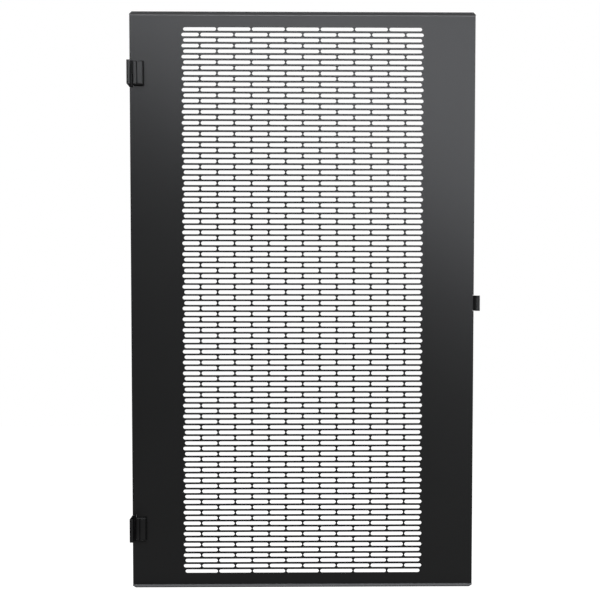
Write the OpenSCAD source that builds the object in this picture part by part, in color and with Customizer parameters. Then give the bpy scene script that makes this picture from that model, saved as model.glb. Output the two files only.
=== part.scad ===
// Perforated door for a 19 inch rack, 18 units high, hung on two angle hinges.
//
// Frame: +Z is up, X runs from the hinge edge to the free edge, and -Y points into
// the rack. The origin is the middle of the lower hinge's two fixing holes, on the
// face of the frame leaf that seats on the rack. The door is drawn closed.

/* [Door sheet] */
// Width of the door, from the hinge edge to the free edge
door_w = 505.6; // [460:0.2:560]
// Height of the door over both flanges
door_h = 842; // [836:1:1000]
// Thickness of the steel sheet
sheet_t = 1.2; // [0.8:0.1:2]
// Inner radius of every fold in the sheet
fold_r = 0.9; // [0.5:0.1:1.2]
// Depth of the top flange, measured from the door's outer face
top_flange_d = 10; // [6:0.5:14]
// Depth of the bottom flange, measured from the door's outer face
bottom_flange_d = 7.5; // [6:0.5:14]
// How far each end of a flange is trimmed back at its free edge
flange_trim = 6; // [2:0.5:12]

/* [Perforation] */
// Length of a long slot over its round ends
slot_l = 48.2; // [30:0.2:70]
// Height of a slot
slot_h = 5.4; // [4:0.1:8]
// Width of the web between the slots of a row
slot_web = 2; // [1.5:0.5:10]
// Width of the web between rows
row_web = 2.6; // [1.6:0.1:6]
// How far the short slots reach past the ends of the full rows
short_slot_overreach = 2.5; // [0:0.5:6]
// Least height of the plain strips above and below the slots
plain_end = 18; // [14:1:80]
// Least width of the plain strips beside the full rows
plain_side = 75; // [35:1:120]

/* [Hinges] */
// Distance from each end of the door to the middle of the nearer frame leaf
hinge_inset = 89; // [60:1:200]
// Height of a frame leaf
frame_leaf_h = 33.6; // [30:0.4:36]
// How far a frame leaf stands in from the door's inner face
frame_leaf_d = 18.5; // [16:0.5:30]
// Width of a frame leaf's lip
lip_w = 5.2; // [3:0.2:8]
// Height of a door leaf
door_leaf_h = 34.4; // [30:0.4:36]
// Distance from the door's hinge edge to the far edge of a door leaf
door_leaf_w = 21; // [17:0.5:40]
// Width of the chamfer along a door leaf's three free edges
door_leaf_chamfer = 1.5; // [0.5:0.1:2.5]
// Distance from the door's hinge edge to the middle of the groove in a door leaf
groove_x = 11.6; // [10:0.2:14]
// Width of the groove in a door leaf
groove_w = 1.6; // [0.8:0.1:2]
// Thickness of the frame leaves
leaf_t = 1.5; // [1:0.1:2]
// Inner radius of the fold in a frame leaf
leaf_fold_r = 0.4; // [0.3:0.1:0.7]
// Height of a hinge's two knuckles together
barrel_h = 37.2; // [36:0.4:60]
// Outer diameter of the knuckles
knuckle_d = 6; // [6:0.1:8]
// Gap between the two knuckles
knuckle_gap = 0.3; // [0.2:0.05:0.6]
// Diameter of the hinge pin
pin_d = 3; // [2:0.1:3.2]
// Gap around the pin in the door leaf's knuckle
running_gap = 0.05; // [0.02:0.01:0.1]
// Length of the chamfer at each end of the pin
pin_chamfer = 0.4; // [0.2:0.1:0.8]
// How far the pin's middle stands in from the door's inner face
pin_set_in = 1.5; // [1:0.1:2]

/* [Fixing holes] */
// Diameter of the fixing holes in a frame leaf
hole_d = 4.3; // [3:0.1:5]
// Distance between the two fixing holes of a frame leaf
hole_pitch = 18; // [12:0.5:22]
// How far the fixing holes stand in from the door's inner face
hole_set_in = 10; // [8:0.5:13]

/* [Strike tab] */
// Height of the strike tab
tab_h = 22.5; // [12:0.5:60]
// How far the tab's lip stands in from the door's inner face
tab_d = 10.5; // [6:0.5:16]
// How far the tab reaches past the door's free edge
tab_reach = 6; // [4:0.2:12]
// How far the tab's riser stands out past the door's free edge
riser_reach = 0.8; // [0:0.1:1]
// Width of the relief cuts above and below the tab
relief_w = 0.4; // [0.3:0.1:2]
// Depth of the relief cuts above and below the tab
relief_d = 1.6; // [1.5:0.1:4]

/* [Hidden] */
$fn = 48;

// How far a cut runs past what it cuts
over = 1;
// How far a fold overlaps the flats that it joins
lap = 0.2;
// Gap between a hinge and the edge of the notch around it
notch_gap = 0.15;
// Gap around the pin in the frame leaf's knuckle
seat_gap = 0.01;

// The door's faces, edges and middle
inner_y = hole_set_in;
outer_y = inner_y + sheet_t;
door_mid_x = door_w / 2;
hinge_pitch = door_h - 2 * hinge_inset;
door_mid_z = hinge_pitch / 2;
door_bottom_z = door_mid_z - door_h / 2;
door_top_z = door_mid_z + door_h / 2;
fold_outer_r = fold_r + sheet_t;

// Distances between slots along a row and between rows
slot_pitch = slot_l + slot_web;
row_pitch = slot_h + row_web;

// Rows of slots, an odd number so that both end rows are full, and long slots in a full row
slot_rows = 2 * floor((door_h - 2 * plain_end - slot_h) / (2 * row_pitch)) + 1;
slots_per_row = floor((door_w - 2 * plain_side + slot_pitch - slot_l) / slot_pitch);

// The pin's axis, and the ends of the knuckles above the middle of a frame leaf
knuckle_r = knuckle_d / 2;
pin_x = knuckle_r;
pin_y = inner_y - pin_set_in;
barrel_start_z = -frame_leaf_h / 2;
barrel_end_z = barrel_start_z + barrel_h;
knuckle_h = (barrel_h - knuckle_gap) / 2;
door_knuckle_z = barrel_end_z - knuckle_h;

// The frame leaf's inner end and fold, the door leaf's inner face and its lower end
frame_end_y = inner_y - frame_leaf_d;
leaf_outer_r = leaf_fold_r + leaf_t;
door_leaf_y = pin_y - knuckle_r;
door_leaf_z = barrel_end_z - door_leaf_h;

// How far the notch around the knuckles reaches in from the hinge edge
notch_w = pin_x + sqrt(pow(knuckle_r, 2) - pow(pin_set_in, 2)) + notch_gap;

// The strike tab: its riser's free side, its lip's inner face and the end of its root
riser_x = door_w + riser_reach;
tab_y = inner_y - tab_d;
tab_root_x = riser_x - fold_outer_r;

// Puts a piece, drawn about the middle of a frame leaf, at the upper hinge
module at_upper_hinge() {
    translate([0, 0, hinge_pitch]) children();
}

// Puts the same piece at the lower hinge, which is the upper one's mirror image
module at_lower_hinge() {
    mirror([0, 0, 1]) children();
}

// A quarter fold about the origin, in the quadrant of +x and +y, with short flat ends
module fold(inner_r, thickness) {
    outer_r = inner_r + thickness;
    intersection() {
        difference() {
            circle(outer_r);
            circle(inner_r);
        }
        square(outer_r + over);
    }
    translate([inner_r, -lap]) square([thickness, lap]);
    translate([-lap, inner_r]) square([lap, thickness]);
}

// A slot with round ends, lying along x, about the origin
module slot(length) {
    straight = length - slot_h;
    square([straight, slot_h], center = true);
    for (side = [-1, 1]) translate([side * straight / 2, 0]) circle(slot_h / 2);
}

// Long slots in one row, about the row's middle
module long_slots(count) {
    for (i = [0 : count - 1]) translate([(i - (count - 1) / 2) * slot_pitch, 0]) slot(slot_l);
}

// The short slots that end a staggered row of a number of long slots
module short_slots(count) {
    inner_end = (count + 1) / 2 * slot_pitch - slot_l / 2;
    outer_end = count / 2 * slot_pitch + slot_l / 2 + short_slot_overreach;
    for (side = [-1, 1]) translate([side * (inner_end + outer_end) / 2, 0]) slot(outer_end - inner_end);
}

// The field of slots about its middle, full rows and staggered rows in turn
module slot_field() {
    for (row = [0 : slot_rows - 1]) translate([0, (row - (slot_rows - 1) / 2) * row_pitch]) {
        if (row % 2 == 0) {
            long_slots(slots_per_row);
        } else {
            long_slots(slots_per_row - 1);
            short_slots(slots_per_row - 1);
        }
    }
}

// The notch in the hinge edge, drawn about the middle of an upper frame leaf
module hinge_notch() {
    translate([-over, barrel_start_z - notch_gap]) square([notch_w + over, barrel_h + 2 * notch_gap]);
}

// What is cut from the free edge for the root of the strike tab and its two reliefs
module tab_root_cut() {
    translate([tab_root_x, -tab_h / 2]) square([door_w - tab_root_x + over, tab_h]);
    for (side = [0, 1]) mirror([0, side]) {
        translate([door_w - relief_d, tab_h / 2]) square([relief_d + over, relief_w]);
    }
}

// The flat of the door between the two long folds
module flat_outline() {
    difference() {
        translate([0, door_bottom_z + fold_outer_r]) square([door_w, door_h - 2 * fold_outer_r]);
        translate([door_mid_x, door_mid_z]) slot_field();
        translate([0, hinge_pitch]) hinge_notch();
        mirror([0, 1]) hinge_notch();
        translate([0, door_mid_z]) tab_root_cut();
    }
}

// A fold and its flange in section, turned from the flat below toward -x
module flange_section(depth) {
    translate([-fold_outer_r, 0]) fold(fold_r, sheet_t);
    translate([-depth, fold_r]) square([depth - fold_outer_r, sheet_t]);
}

// What trims a flange's end at a slant, about the end of the fold, toward -y
module flange_end_cut(run) {
    polygon([[-over, 0], [0, 0], [flange_trim * (run + over) / run, -run - over], [-over, -run - over]]);
}

// A flange along the door's whole width, above the end of the flat
module flange(depth) {
    difference() {
        translate([0, outer_y, 0]) rotate([90, 0, 90]) linear_extrude(door_w) flange_section(depth);
        for (side = [0, 1]) translate([side * door_w, outer_y - fold_outer_r, 0]) mirror([side, 0, 0]) {
            linear_extrude(fold_outer_r + over) flange_end_cut(depth - fold_outer_r);
        }
    }
}

// The strike tab in plan: a fold, a riser, a fold back and the lip
module tab_section() {
    riser_start_y = tab_y + fold_outer_r;
    lip_start_x = riser_x + fold_r;
    translate([tab_root_x, inner_y - fold_r]) fold(fold_r, sheet_t);
    translate([riser_x - sheet_t, riser_start_y]) square([sheet_t, inner_y - fold_r - riser_start_y]);
    translate([lip_start_x, riser_start_y]) rotate(180) fold(fold_r, sheet_t);
    translate([lip_start_x, tab_y]) square([door_w + tab_reach - lip_start_x, sheet_t]);
}

// The folded and perforated sheet, one piece with its flanges and its strike tab
module door_panel() {
    color("#3a3c3e") {
        translate([0, outer_y, 0]) rotate([90, 0, 0]) linear_extrude(sheet_t) flat_outline();
        translate([0, 0, door_top_z - fold_outer_r]) flange(top_flange_d);
        translate([0, 0, door_bottom_z + fold_outer_r]) mirror([0, 0, 1]) flange(bottom_flange_d);
        translate([0, 0, door_mid_z - tab_h / 2]) linear_extrude(tab_h) tab_section();
    }
}

// The angle of a frame leaf in plan: the wall that seats on the rack, a fold and the lip
module frame_angle_section() {
    translate([leaf_outer_r, frame_end_y + leaf_outer_r]) rotate(180) fold(leaf_fold_r, leaf_t);
    translate([0, frame_end_y + leaf_outer_r]) square([leaf_t, pin_y - frame_end_y - leaf_outer_r]);
    translate([leaf_outer_r, frame_end_y]) square([lip_w - leaf_outer_r, leaf_t]);
}

// The room that a leaf leaves around the other leaf's knuckle, over one height
module knuckle_room(start_z, height) {
    room = knuckle_r + knuckle_gap;
    translate([pin_x - room, pin_y - room, start_z]) cube([2 * room, 2 * room, height]);
}

// A frame leaf: its angle, its knuckle at the lower end and its two fixing holes
module frame_leaf() {
    difference() {
        union() {
            translate([0, 0, barrel_start_z]) linear_extrude(frame_leaf_h) frame_angle_section();
            translate([pin_x, pin_y, barrel_start_z]) cylinder(h = knuckle_h, r = knuckle_r);
        }
        knuckle_room(barrel_start_z + knuckle_h, frame_leaf_h);
        translate([pin_x, pin_y, barrel_start_z - over]) {
            cylinder(h = knuckle_h + 2 * over, d = pin_d + 2 * seat_gap);
        }
        for (side = [-1, 1]) translate([-over, 0, side * hole_pitch / 2]) {
            rotate([0, 90, 0]) cylinder(h = leaf_t + 2 * over, d = hole_d);
        }
    }
}

// A door leaf in plan: a thick plate with a chamfered far edge and a shallow V groove
module door_leaf_section() {
    difference() {
        translate([pin_x, door_leaf_y]) square([door_leaf_w - pin_x, inner_y - door_leaf_y]);
        translate([door_leaf_w, door_leaf_y]) edge_cut(door_leaf_chamfer);
        translate([groove_x, door_leaf_y]) edge_cut(groove_w / 2);
    }
}

// What chamfers an edge or sinks a groove, a square on its corner
module edge_cut(reach) {
    polygon([[-reach, 0], [0, -reach], [reach, 0], [0, reach]]);
}

// What chamfers a door leaf's lower and upper end
module door_leaf_end_cuts() {
    for (end_z = [door_leaf_z, barrel_end_z]) translate([pin_x + knuckle_r, door_leaf_y, end_z]) {
        rotate([90, 0, 90]) linear_extrude(door_leaf_w) edge_cut(door_leaf_chamfer);
    }
}

// A door leaf: its plate, and its knuckle at the upper end
module door_leaf() {
    difference() {
        union() {
            translate([0, 0, door_leaf_z]) linear_extrude(door_leaf_h) door_leaf_section();
            translate([pin_x, pin_y, door_knuckle_z]) cylinder(h = knuckle_h, r = knuckle_r);
        }
        knuckle_room(door_leaf_z - over, door_knuckle_z - door_leaf_z + over);
        translate([pin_x, pin_y, door_knuckle_z - over]) {
            cylinder(h = knuckle_h + 2 * over, d = pin_d + 2 * running_gap);
        }
        door_leaf_end_cuts();
    }
}

// A hinge pin, flush with the knuckles and chamfered at both ends
module hinge_pin() {
    straight = barrel_h - 2 * pin_chamfer;
    translate([pin_x, pin_y, barrel_start_z + barrel_h / 2]) {
        cylinder(h = straight, d = pin_d, center = true);
        for (side = [0, 1]) mirror([0, 0, side]) translate([0, 0, straight / 2]) {
            cylinder(h = pin_chamfer, d1 = pin_d, d2 = pin_d - pin_chamfer);
        }
    }
}

module upper_door_leaf() {
    color("#3a3c3e") at_upper_hinge() door_leaf();
}

module upper_frame_leaf() {
    color("#3a3c3e") at_upper_hinge() frame_leaf();
}

module upper_hinge_pin() {
    color("#2a2b2c") at_upper_hinge() hinge_pin();
}

module lower_door_leaf() {
    color("#3a3c3e") at_lower_hinge() door_leaf();
}

module lower_frame_leaf() {
    color("#3a3c3e") at_lower_hinge() frame_leaf();
}

module lower_hinge_pin() {
    color("#2a2b2c") at_lower_hinge() hinge_pin();
}

door_panel();
upper_door_leaf();
upper_frame_leaf();
upper_hinge_pin();
lower_door_leaf();
lower_frame_leaf();
lower_hinge_pin();
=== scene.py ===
"""Perforated rack door: finishes, floor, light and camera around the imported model."""
from math import radians

import bpy
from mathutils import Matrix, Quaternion, Vector


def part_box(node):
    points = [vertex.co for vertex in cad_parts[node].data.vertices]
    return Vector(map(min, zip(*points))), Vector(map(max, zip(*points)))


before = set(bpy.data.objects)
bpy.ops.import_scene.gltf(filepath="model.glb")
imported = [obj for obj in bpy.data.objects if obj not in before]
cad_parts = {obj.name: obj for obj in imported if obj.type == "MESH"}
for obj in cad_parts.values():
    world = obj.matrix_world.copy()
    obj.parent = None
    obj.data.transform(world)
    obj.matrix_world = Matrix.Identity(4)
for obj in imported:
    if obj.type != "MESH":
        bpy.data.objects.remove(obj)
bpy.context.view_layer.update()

MM = 0.001
SIDES = ("upper", "lower")

# The sheet's inner face, which the camera looks at, and its middle.
SHEET = 1.2 * MM
DOOR_WIDTH = 505.6 * MM
door_low, door_high = (Vector(corner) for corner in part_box("door_panel"))
INNER_FACE_Y = door_high.y - SHEET
HALF_HEIGHT = (door_high.z - door_low.z) / 2
DOOR_MIDDLE = Vector((door_low.x + DOOR_WIDTH / 2, INNER_FACE_Y, (door_low.z + door_high.z) / 2))

# The axis that the door swings on.
PIN_AXIS = (3.0 * MM, 8.5 * MM, 0)

# Powder coat: its colour and roughness, how far each strays, the noises' features per metre, and the
# strength and height of the orange peel.
COAT_COLOR = (0.0085, 0.0085, 0.0083)
COAT_ROUGHNESS = 0.385
COLOR_STRAY = 0.07
ROUGHNESS_STRAY = 0.015
CLOUDS_PER_METRE = 9.0
PEEL_PER_METRE = 900.0
PEEL_BUMP = (0.12, 0.04 * MM)

# How strongly each coat mirrors: the hinges' is a little glossier than the door's.
DOOR_SHINE = 0.25
DOOR_LEAF_SHINE = 0.28
FRAME_LEAF_SHINE = 0.36

# Distances from the door's top or bottom edge at which the painted fold light starts and is complete.
FOLD_REACH = (14 * MM, 12 * MM)

# Painted light inside the folds, lighter greys that stand in for light on the flanges' inner faces and a
# painted highlight along the top fold: the end (1 is the top), the slopes between which each starts and is
# complete, and its grey.
PAINTED_FOLD_LIGHTS = (
    (1, (0.35, 0.55), 0.15),
    (1, (0.9, 0.98), 0.05),
    (-1, (0.8, 0.97), 0.06),
)
PAINTED_FOLD_LIGHT_TINT = (1, 1.01, 1.04)

# Painted shade on the hinges' coat, standing in for shadow in the knuckle, groove, chamfers and along the
# hinge edge: how dark, rough and shiny it is, and how much of it lies on slants and edges.
PAINTED_SHADE_COLOR = (0.003, 0.003, 0.003, 1)
PAINTED_SHADE_ROUGHNESS = 0.45
PAINTED_SHADE_SHINE = 0.06
SLANT_SHADE = 0.8
EDGE_SHADE = 0.9

# Squareness is 1 on a face parallel to the sheet. The painted shade starts at the first value and is
# complete at the second.
SLANT_STEPS = (0.995, 0.9)

# The painted shade covers what is nearer to the pin's axis than this, over a soft border.
PIN_SHADE_REACH = (4.6 * MM, 4.3 * MM)

# The painted shade also covers each leaf from the hinge edge to this place across the door.
DOOR_LEAF_SHADE_EDGE = 6.8 * MM
FRAME_LEAF_SHADE_EDGE = 2.3 * MM
SHADE_BORDER = 0.2 * MM

# Pins: blackened steel, its patina's features per metre and the strength and height of its rings.
STEEL_COLOR = (0.06, 0.06, 0.063, 1.0)
STEEL_METALLIC = 0.8
STEEL_ROUGHNESS = (0.32, 0.5)
PATINA_PER_METRE = 400.0
RINGS = {"Scale": 700.0, "Distortion": 0.4}
RING_BUMP = (0.1, 0.02 * MM)

# Camera: nearly square on to the inner face, a little above and left of its middle.
CAMERA_OFFSET = Vector((-10.3, -885.3, 26.6)) * MM
CAMERA_TILT = radians(-1.431)
CAMERA_TURN = radians(-0.404)
CAMERA_LENS_MM = 36
CAMERA_SENSOR_MM = 36

# Room: the floor lies below the hung door, and its glow makes up what the lamps leave short of white.
# The world's fill is a dim grey.
FLOOR_DROP = 0.14
FLOOR_SIZE = 3.2
FLOOR_COLOR = (0.85, 0.85, 0.85, 1.0)
FLOOR_ROUGHNESS = 0.9
FLOOR_GLOW = 0.79
WHITE = (1, 1, 1, 1)
WORLD_FILL = 0.16

# The door mirrors the white backdrop and floor only behind it: the room on the camera's side is dim.
MIRRORED_DIRECTIONS = (-0.3, 0.1)
MIRRORED_FLOOR = (0.0, 0.3)

# Lamps: places from the door's middle, sizes in metres and powers in watts.
KEY_PLACE = (0.262, -0.9, 0.728)
KEY_SIZE = (3.0, 0.92)
KEY_POWER = 44
KEY_ROLL = radians(-34.8)
KEY_TINT = (0.965, 0.985, 1.035)
OVERHEAD_PLACE = (0.0, 0.2, 1.6)
OVERHEAD_SIZE = (1.4, 1.0)
OVERHEAD_POWER = 14

# Weak parallel lights along the sheet, in watts per square metre.
EDGE_LIGHT_POWER = 3
EDGE_LIGHT_ANGLE = radians(6)


def new_material(name):
    """A node material with its tree and its Principled shader, which goes to its output."""
    material = bpy.data.materials.new(name)
    material.use_nodes = True
    tree = material.node_tree
    tree.nodes.clear()
    shader = tree.nodes.new("ShaderNodeBsdfPrincipled")
    output = tree.nodes.new("ShaderNodeOutputMaterial")
    tree.links.new(shader.outputs["BSDF"], output.inputs["Surface"])
    return material, tree, shader


def node(tree, kind, values=None, **settings):
    """A new node with its settings and the values of its inputs."""
    new = tree.nodes.new(kind)
    for key, value in settings.items():
        setattr(new, key, value)
    for key, value in (values or {}).items():
        new.inputs[key].default_value = value
    return new


def first_of(tree, kind):
    """The first node of a type in a tree."""
    return next(one for one in tree.nodes if one.type == kind)


def parts_of(tree, vector):
    """A vector's X, Y and Z as three sockets."""
    split = node(tree, "ShaderNodeSeparateXYZ")
    tree.links.new(vector, split.inputs["Vector"])
    return split.outputs


def math_node(tree, operation, first, second=None):
    """The result of one sum. Its second term is a socket, a number or nothing."""
    new = node(tree, "ShaderNodeMath", operation=operation)
    tree.links.new(first, new.inputs[0])
    if isinstance(second, (int, float)):
        new.inputs[1].default_value = second
    elif second is not None:
        tree.links.new(second, new.inputs[1])
    return new.outputs["Value"]


def vector_node(tree, operation, first, second=(0, 0, 0)):
    """The outputs of a vector sum of a socket and a fixed vector."""
    new = node(tree, "ShaderNodeVectorMath", operation=operation)
    tree.links.new(first, new.inputs[0])
    new.inputs[1].default_value = second
    return new.outputs


def spread(tree, factor, low, high):
    """A factor from 0 to 1 mapped to a range of numbers."""
    new = node(tree, "ShaderNodeMapRange", {"To Min": low, "To Max": high})
    tree.links.new(factor, new.inputs["Value"])
    return new.outputs["Result"]


def slide(tree, value, start, full, most=1.0):
    """0 before a value reaches start, and most once it has gone on to full."""
    new = node(tree, "ShaderNodeMapRange", {"From Min": start, "From Max": full, "To Max": most})
    tree.links.new(value, new.inputs["Value"])
    return new.outputs["Result"]


def noise(tree, position, scale, detail, roughness=0.5):
    """Noise over a position in metres: scale is features per metre."""
    values = {"Scale": scale, "Detail": detail, "Roughness": roughness}
    texture = node(tree, "ShaderNodeTexNoise", values)
    tree.links.new(position, texture.inputs["Vector"])
    return texture.outputs["Fac"]


def add_bump(tree, shader, height, strength, distance):
    """Raises a shader's surface by a height from 0 to 1 times a distance."""
    bump = node(tree, "ShaderNodeBump", {"Strength": strength, "Distance": distance})
    tree.links.new(height, bump.inputs["Height"])
    tree.links.new(bump.outputs["Normal"], shader.inputs["Normal"])


def powder_coat(name, shine):
    """Semi-gloss powder coat: fine orange peel, and slight changes of tone over a hand's width."""
    material, tree, shader = new_material(name)
    position = node(tree, "ShaderNodeTexCoord").outputs["Object"]

    cloud = noise(tree, position, CLOUDS_PER_METRE, detail=3.0)
    tone = node(tree, "ShaderNodeMix", data_type="RGBA")
    tone.inputs["A"].default_value = (*[part * (1 - COLOR_STRAY) for part in COAT_COLOR], 1.0)
    tone.inputs["B"].default_value = (*[part * (1 + COLOR_STRAY) for part in COAT_COLOR], 1.0)
    tree.links.new(cloud, tone.inputs["Factor"])
    tree.links.new(tone.outputs["Result"], shader.inputs["Base Color"])

    roughness = spread(tree, cloud, COAT_ROUGHNESS - ROUGHNESS_STRAY, COAT_ROUGHNESS + ROUGHNESS_STRAY)
    tree.links.new(roughness, shader.inputs["Roughness"])
    shader.inputs["Specular IOR Level"].default_value = shine

    peel = noise(tree, position, PEEL_PER_METRE, detail=3.0, roughness=0.55)
    add_bump(tree, shader, peel, *PEEL_BUMP)
    return material


def inside_fold(tree, height, slope, end, steps):
    """Rises from 0 to 1 with the slope of the inner faces at the top (end 1) or bottom (end -1) fold."""
    turned = slide(tree, math_node(tree, "MULTIPLY", slope, -end), *steps)
    start, full = (1 - reach / HALF_HEIGHT for reach in FOLD_REACH)
    near_end = slide(tree, math_node(tree, "MULTIPLY", height, end), start, full)
    return math_node(tree, "MULTIPLY", turned, near_end)


def paint_light_in_folds(material):
    """Paints light into a coat inside the top and bottom folds: lighter greys on the flanges' inner faces
    and a highlight along the top fold.
    """
    tree = material.node_tree
    shader = first_of(tree, "BSDF_PRINCIPLED")
    tone = shader.inputs["Base Color"].links[0].from_socket
    where = node(tree, "ShaderNodeTexCoord").outputs
    slope = parts_of(tree, where["Normal"])["Z"]

    # Height is 0 at the door's middle, 1 at its top edge and -1 at its bottom edge.
    height = math_node(tree, "SUBTRACT", parts_of(tree, where["Object"])["Z"], DOOR_MIDDLE.z)
    height = math_node(tree, "DIVIDE", height, HALF_HEIGHT)

    # Painted light: each grey lightens the inner faces of a fold, and the first is a painted highlight along
    # the top fold.
    for end, steps, grey in PAINTED_FOLD_LIGHTS:
        fold_light = node(tree, "ShaderNodeMix", data_type="RGBA")
        tree.links.new(inside_fold(tree, height, slope, end, steps), fold_light.inputs["Factor"])
        tree.links.new(tone, fold_light.inputs["A"])
        fold_light.inputs["B"].default_value = (*[grey * part for part in PAINTED_FOLD_LIGHT_TINT], 1)
        tone = fold_light.outputs["Result"]
    tree.links.new(tone, shader.inputs["Base Color"])
    return material


def slant_shade(tree, normal):
    """How much painted shade lies on what slants sideways or up: groove and chamfers, but not what faces
    down.
    """
    facing = parts_of(tree, normal)
    squareness = math_node(tree, "SUBTRACT", math_node(tree, "ABSOLUTE", facing["Y"]), facing["Z"])
    return slide(tree, squareness, *SLANT_STEPS, SLANT_SHADE)


def near_pin(tree, position):
    """1 round the pin's axis, at any height."""
    from_axis = vector_node(tree, "SUBTRACT", position, PIN_AXIS)["Vector"]
    across = vector_node(tree, "MULTIPLY", from_axis, (1, 1, 0))["Vector"]
    distance = vector_node(tree, "LENGTH", across)["Value"]
    return slide(tree, distance, *PIN_SHADE_REACH)


def paint_shade_on_hinge(material, edge):
    """Paints shade into a coat: round the pin, on slants, and from the hinge edge to a place."""
    tree = material.node_tree
    coat = first_of(tree, "BSDF_PRINCIPLED")
    output = first_of(tree, "OUTPUT_MATERIAL")
    # Painted shade: a near-black coat that stands in for shadow in the knuckle, the groove, the chamfers and
    # along the hinge edge.
    shade_bsdf = node(tree, "ShaderNodeBsdfPrincipled", {"Base Color": PAINTED_SHADE_COLOR, "Roughness": PAINTED_SHADE_ROUGHNESS})
    shade_bsdf.inputs["Specular IOR Level"].default_value = PAINTED_SHADE_SHINE

    where = node(tree, "ShaderNodeTexCoord").outputs
    across_door = parts_of(tree, where["Object"])["X"]
    near_edge = slide(tree, across_door, edge + SHADE_BORDER, edge - SHADE_BORDER, EDGE_SHADE)
    amount = math_node(tree, "MAXIMUM", slant_shade(tree, where["Normal"]), near_pin(tree, where["Object"]))
    amount = math_node(tree, "MAXIMUM", amount, near_edge)

    mix = node(tree, "ShaderNodeMixShader")
    tree.links.new(amount, mix.inputs["Fac"])
    tree.links.new(coat.outputs["BSDF"], mix.inputs[1])
    tree.links.new(shade_bsdf.outputs["BSDF"], mix.inputs[2])
    tree.links.new(mix.outputs["Shader"], output.inputs["Surface"])
    return material


def blackened_steel(name):
    """Oil-blackened turned steel: fine rings round the pin and a dull sheen."""
    material, tree, shader = new_material(name)
    position = node(tree, "ShaderNodeTexCoord").outputs["Object"]
    shader.inputs["Metallic"].default_value = STEEL_METALLIC
    shader.inputs["Base Color"].default_value = STEEL_COLOR
    patina = noise(tree, position, PATINA_PER_METRE, detail=4.0)
    tree.links.new(spread(tree, patina, *STEEL_ROUGHNESS), shader.inputs["Roughness"])
    rings = node(tree, "ShaderNodeTexWave", RINGS, bands_direction="Z")
    tree.links.new(position, rings.inputs["Vector"])
    add_bump(tree, shader, rings.outputs["Fac"], *RING_BUMP)
    return material


def finish_node(name, material):
    """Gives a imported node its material."""
    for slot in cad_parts[name].material_slots:
        slot.material = material


def finish_pieces():
    """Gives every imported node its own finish."""
    # The door's coat carries painted light inside its top and bottom folds.
    coat = paint_light_in_folds(powder_coat("powder_coat", DOOR_SHINE))
    # The hinge leaves' coats carry painted shade round the pin, on slants and along the hinge edge.
    door_leaf_coat = paint_shade_on_hinge(powder_coat("door_leaf_powder_coat", DOOR_LEAF_SHINE), DOOR_LEAF_SHADE_EDGE)
    frame_leaf_coat = paint_shade_on_hinge(powder_coat("frame_leaf_powder_coat", FRAME_LEAF_SHINE), FRAME_LEAF_SHADE_EDGE)
    pin_steel = blackened_steel("blackened_steel")

    finish_node("door_panel", coat)
    for side in SIDES:
        finish_node(f"{side}_door_leaf", door_leaf_coat)
        finish_node(f"{side}_frame_leaf", frame_leaf_coat)
        finish_node(f"{side}_hinge_pin", pin_steel)


def seen_as_white(tree, mirrored):
    """1 for rays from the camera and for transmitted ones, and what is given for mirrored ones."""
    path = node(tree, "ShaderNodeLightPath").outputs
    seen = math_node(tree, "MULTIPLY", path["Is Glossy Ray"], mirrored)
    for name in ("Is Camera Ray", "Is Transmission Ray"):
        seen = math_node(tree, "MAXIMUM", seen, path[name])
    return seen


def white_world():
    """Shows white behind the object, and lights it with a dim even grey."""
    world = bpy.data.worlds.new("studio")
    bpy.context.scene.world = world
    world.use_nodes = True
    tree = world.node_tree
    tree.nodes.clear()
    backdrop = node(tree, "ShaderNodeBackground", {"Color": WHITE, "Strength": 1.0})
    fill = node(tree, "ShaderNodeBackground", {"Color": WHITE, "Strength": WORLD_FILL})
    mix = node(tree, "ShaderNodeMixShader")
    output = node(tree, "ShaderNodeOutputWorld")
    direction = node(tree, "ShaderNodeTexCoord").outputs["Generated"]
    behind = slide(tree, parts_of(tree, direction)["Y"], *MIRRORED_DIRECTIONS)
    tree.links.new(seen_as_white(tree, behind), mix.inputs["Fac"])
    tree.links.new(fill.outputs["Background"], mix.inputs[1])
    tree.links.new(backdrop.outputs["Background"], mix.inputs[2])
    tree.links.new(mix.outputs["Shader"], output.inputs["Surface"])


def pale_floor():
    """A floor that reads as white to the camera and still takes the object's soft shadow."""
    place = (DOOR_MIDDLE.x, DOOR_MIDDLE.y, door_low.z - FLOOR_DROP)
    bpy.ops.mesh.primitive_plane_add(size=FLOOR_SIZE, location=place)
    floor = bpy.context.object
    floor.name = "floor"
    material, tree, shader = new_material("floor_paint")
    shader.inputs["Base Color"].default_value = FLOOR_COLOR
    shader.inputs["Roughness"].default_value = FLOOR_ROUGHNESS
    shader.inputs["Specular IOR Level"].default_value = 0.0
    shader.inputs["Emission Color"].default_value = WHITE
    position = node(tree, "ShaderNodeNewGeometry").outputs["Position"]
    behind = slide(tree, parts_of(tree, position)["Y"], *MIRRORED_FLOOR)
    glow = math_node(tree, "MULTIPLY", seen_as_white(tree, behind), FLOOR_GLOW)
    tree.links.new(glow, shader.inputs["Emission Strength"])
    floor.data.materials.append(material)


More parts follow.
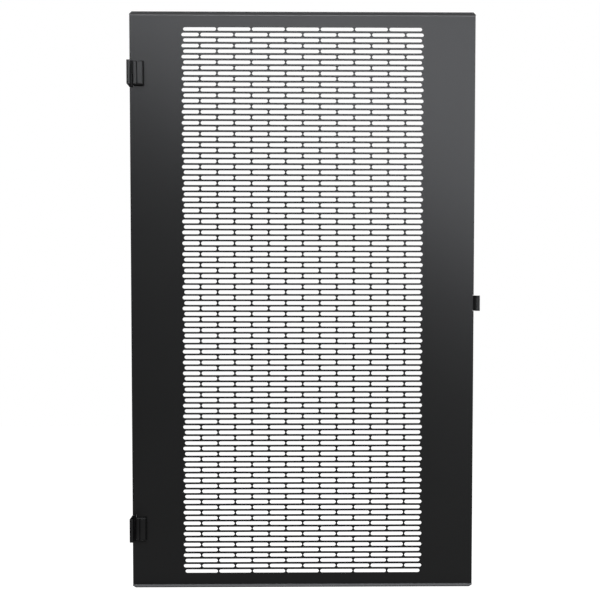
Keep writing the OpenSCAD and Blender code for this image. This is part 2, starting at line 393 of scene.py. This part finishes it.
def softbox(name, offset, size, power, roll=0.0):
    """An area lamp at an offset from the door's middle, facing it and rolled about its own axis."""
    lamp = bpy.data.lights.new(name, "AREA")
    lamp.shape = "RECTANGLE"
    lamp.size, lamp.size_y = size
    lamp.energy = power
    holder = bpy.data.objects.new(name, lamp)
    bpy.context.scene.collection.objects.link(holder)
    holder.location = DOOR_MIDDLE + Vector(offset)
    facing = (-Vector(offset)).to_track_quat("-Z", "Y")
    holder.rotation_euler = (facing @ Quaternion((0, 0, 1), roll)).to_euler()
    lamp.cycles.use_multiple_importance_sampling = False
    return holder


def group(name, nodes):
    """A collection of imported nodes, for a lamp to light or to be blocked by."""
    collection = bpy.data.collections.new(name)
    for one in nodes:
        collection.objects.link(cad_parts[one])
    return collection


def edge_light(name, direction, lit, glossy):
    """A soft parallel light that runs along the sheet and picks out what is folded across it."""
    lamp = bpy.data.lights.new(name, "SUN")
    lamp.energy = EDGE_LIGHT_POWER
    lamp.angle = EDGE_LIGHT_ANGLE
    lamp.use_shadow = False
    holder = bpy.data.objects.new(name, lamp)
    bpy.context.scene.collection.objects.link(holder)
    holder.rotation_euler = Vector(direction).to_track_quat("-Z", "Y").to_euler()
    holder.visible_glossy = glossy
    holder.light_linking.receiver_collection = lit


def add_lamps():
    """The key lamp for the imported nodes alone, an overhead one for all, and two lights along the sheet."""
    key = softbox("key", KEY_PLACE, KEY_SIZE, KEY_POWER, KEY_ROLL)
    key.data.color = KEY_TINT
    key.light_linking.receiver_collection = group("lit_by_key", list(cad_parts))
    softbox("overhead", OVERHEAD_PLACE, OVERHEAD_SIZE, OVERHEAD_POWER)

    # Only the door leaves shade the key: the photographed flange throws no band on the face.
    door_leaves = [f"{side}_door_leaf" for side in SIDES]
    key.light_linking.blocker_collection = group("blocks_key", door_leaves)

    sheet = group("sheet", ["door_panel"])
    edge_light("from_below", (0.1, 0, 1), sheet, True)
    edge_light("from_above", (0, 0, -1), sheet, False)


def add_camera():
    """The camera, placed from the door's middle."""
    lens = bpy.data.cameras.new("camera")
    lens.lens = CAMERA_LENS_MM
    lens.sensor_width = CAMERA_SENSOR_MM
    camera = bpy.data.objects.new("camera", lens)
    bpy.context.scene.collection.objects.link(camera)
    camera.location = DOOR_MIDDLE + CAMERA_OFFSET
    camera.rotation_euler = (radians(90) + CAMERA_TILT, 0, CAMERA_TURN)
    bpy.context.scene.camera = camera


bpy.context.scene.view_settings.view_transform = "Standard"

finish_pieces()
add_camera()
white_world()
pale_floor()
add_lamps()
